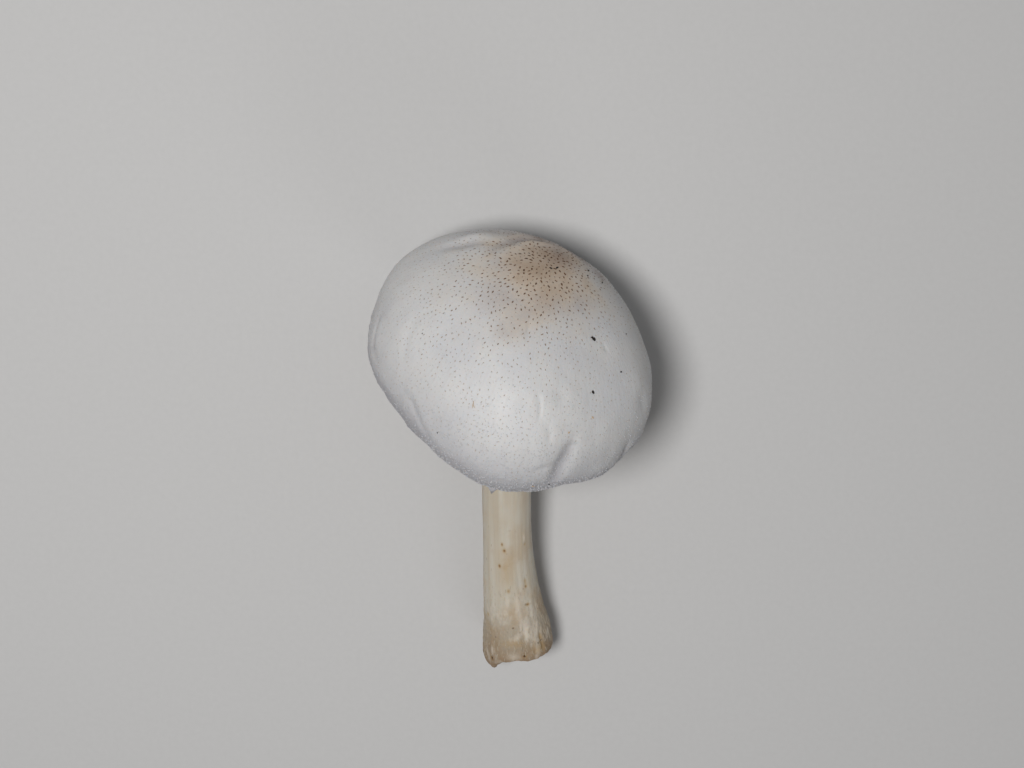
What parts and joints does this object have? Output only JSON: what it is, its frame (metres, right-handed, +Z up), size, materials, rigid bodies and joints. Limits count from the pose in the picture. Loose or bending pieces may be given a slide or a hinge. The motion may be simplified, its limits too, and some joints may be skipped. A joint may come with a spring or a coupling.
{
  "type": "pluteus mushroom",
  "caption": "Picked shield-cap mushroom lying on its side, with a domed white cap, free gills under it and a pale stem that widens to a torn foot.",
  "frame": {"origin": "centre of the mushroom's underside as it lies, on the surface it rests on", "axes": "+Y from the foot of the stem to the cap, +Z up from the surface it lies on"},
  "size_m": [0.0628, 0.112, 0.06],
  "materials": {
    "cap": "dry satin white mushroom skin, brown and scaly at the disc",
    "gills": "matt, soft, pale pink",
    "stem": "satin cream, finely fibrous, brownish at the foot"
  },
  "bodies": {
    "root": {"cap": "cap", "gills": "gills", "stem": "stem"}
  },
  "joints": []
}
